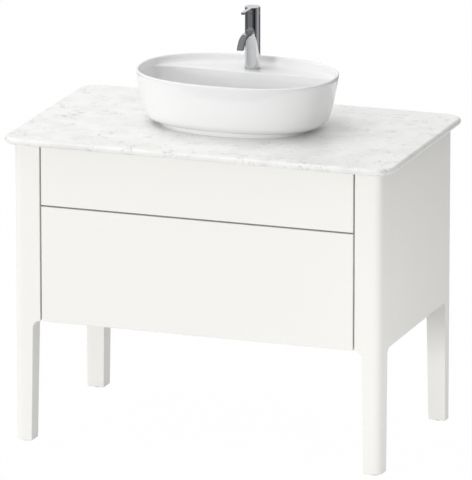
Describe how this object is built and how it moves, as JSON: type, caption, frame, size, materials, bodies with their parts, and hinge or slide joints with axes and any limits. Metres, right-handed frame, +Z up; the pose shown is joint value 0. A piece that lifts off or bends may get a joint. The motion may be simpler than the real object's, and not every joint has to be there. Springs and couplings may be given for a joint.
{
  "type": "bathroom vanity unit",
  "caption": "Painted vanity cabinet on tapered corner posts with inset push-to-open drawers, stone top, oval vessel basin with waste and trap, and single-lever mixer.",
  "frame": {"origin": "on the floor under the centre of the stone top", "axes": "+Z up, the drawers' fronts face -Y, +X to the right seen from the front; the wall is at +Y"},
  "size_m": [0.988, 0.595, 1.0313],
  "materials": {
    "painted_wood": "satin white paint on solid wood and board",
    "white_board": "matt white laminated board",
    "beech": "bare beech",
    "light_stone": "honed light stone with soft grey flecks",
    "white_glaze": "glossy white glaze",
    "chrome_plate": "polished chrome plate on brass",
    "bare_brass": "turned brass",
    "zinc_steel": "zinc-plated steel",
    "white_plastic": "moulded white plastic",
    "black_plastic": "moulded black plastic",
    "silicone": "soft translucent white"
  },
  "bodies": {
    "cabinet": {"front_left_post": "painted_wood", "front_right_post": "painted_wood", "rear_left_post": "painted_wood", "rear_right_post": "painted_wood", "left_side_panel": "painted_wood", "right_side_panel": "painted_wood", "bottom_panel": "white_board", "front_top_rail": "white_board", "rear_top_rail": "white_board", "rear_bottom_rail": "white_board", "frame_dowels": "beech", "leg_glides": "black_plastic", "wall_spacers": "white_plastic", "stone_top": "light_stone", "basin": "white_glaze", "basin_seal": "silicone", "waste_seals": "silicone", "mixer_base_ring": "chrome_plate", "waste_cover": "chrome_plate", "waste_body": "chrome_plate", "mixer_body": "chrome_plate", "waste_lock_nut": "white_plastic", "mixer_cartridge": "white_plastic", "trap_dip_tube": "white_plastic", "trap_head": "white_plastic", "trap_cup": "white_plastic", "trap_union_nuts": "white_plastic", "trap_outlet_pipe": "white_plastic", "mixer_aerator": "black_plastic", "cartridge_retaining_ring": "bare_brass", "mixer_clamp_nut": "bare_brass", "mixer_fixing_stud": "zinc_steel", "mixer_clamp_plate": "zinc_steel", "upper_runner_cabinet_members": "zinc_steel", "lower_runner_cabinet_members": "zinc_steel"},
    "upper_runner_middle": {"upper_runner_middle_members": "zinc_steel"},
    "lower_runner_middle": {"lower_runner_middle_members": "zinc_steel"},
    "upper_drawer": {"upper_drawer_front": "painted_wood", "upper_drawer_subfront": "white_board", "upper_drawer_left_side": "white_board", "upper_drawer_right_side": "white_board", "upper_drawer_backs": "white_board", "upper_drawer_recess_sides": "white_board", "upper_drawer_recess_front": "white_board", "upper_drawer_bottom": "white_board", "upper_front_screws": "zinc_steel", "upper_runner_drawer_members": "zinc_steel"},
    "lower_drawer": {"lower_drawer_front": "painted_wood", "lower_drawer_subfront": "white_board", "lower_drawer_left_side": "white_board", "lower_drawer_right_side": "white_board", "lower_drawer_back": "white_board", "lower_drawer_bottom": "white_board", "lower_front_screws": "zinc_steel", "lower_runner_drawer_members": "zinc_steel"},
    "rotor": {"mixer_rotor": "white_plastic", "mixer_pivot_pin": "zinc_steel"},
    "lever": {"lever_spindle": "zinc_steel", "mixer_lever": "chrome_plate", "lever_grub_screw": "zinc_steel"}
  },
  "joints": [
    {"name": "upper_drawer_slide", "type": "slide", "parent": "cabinet", "child": "upper_drawer", "axis": [0, -1, 0], "range_m": [-0.003, 0.43]},
    {"name": "upper_runner_slide", "type": "slide", "parent": "cabinet", "child": "upper_runner_middle", "axis": [0, -1, 0], "range_m": [-0.0015, 0.215]},
    {"name": "lower_drawer_slide", "type": "slide", "parent": "cabinet", "child": "lower_drawer", "axis": [0, -1, 0], "range_m": [-0.003, 0.43]},
    {"name": "lower_runner_slide", "type": "slide", "parent": "cabinet", "child": "lower_runner_middle", "axis": [0, -1, 0], "range_m": [-0.0015, 0.215]},
    {"name": "mixer_swivel", "type": "hinge", "parent": "cabinet", "child": "rotor", "pos_m": [0, 0.1355, 1.0165], "axis": [0, 0, 1], "range_deg": [-45, 45]},
    {"name": "lever_lift", "type": "hinge", "parent": "rotor", "child": "lever", "pos_m": [0, 0.1355, 1.0125], "axis": [-1, 0, 0], "range_deg": [0, 24]}
  ],
  "couplings": [
    {"joint": "upper_runner_slide", "follows": "upper_drawer_slide", "ratio": 0.5},
    {"joint": "lower_runner_slide", "follows": "lower_drawer_slide", "ratio": 0.5}
  ]
}
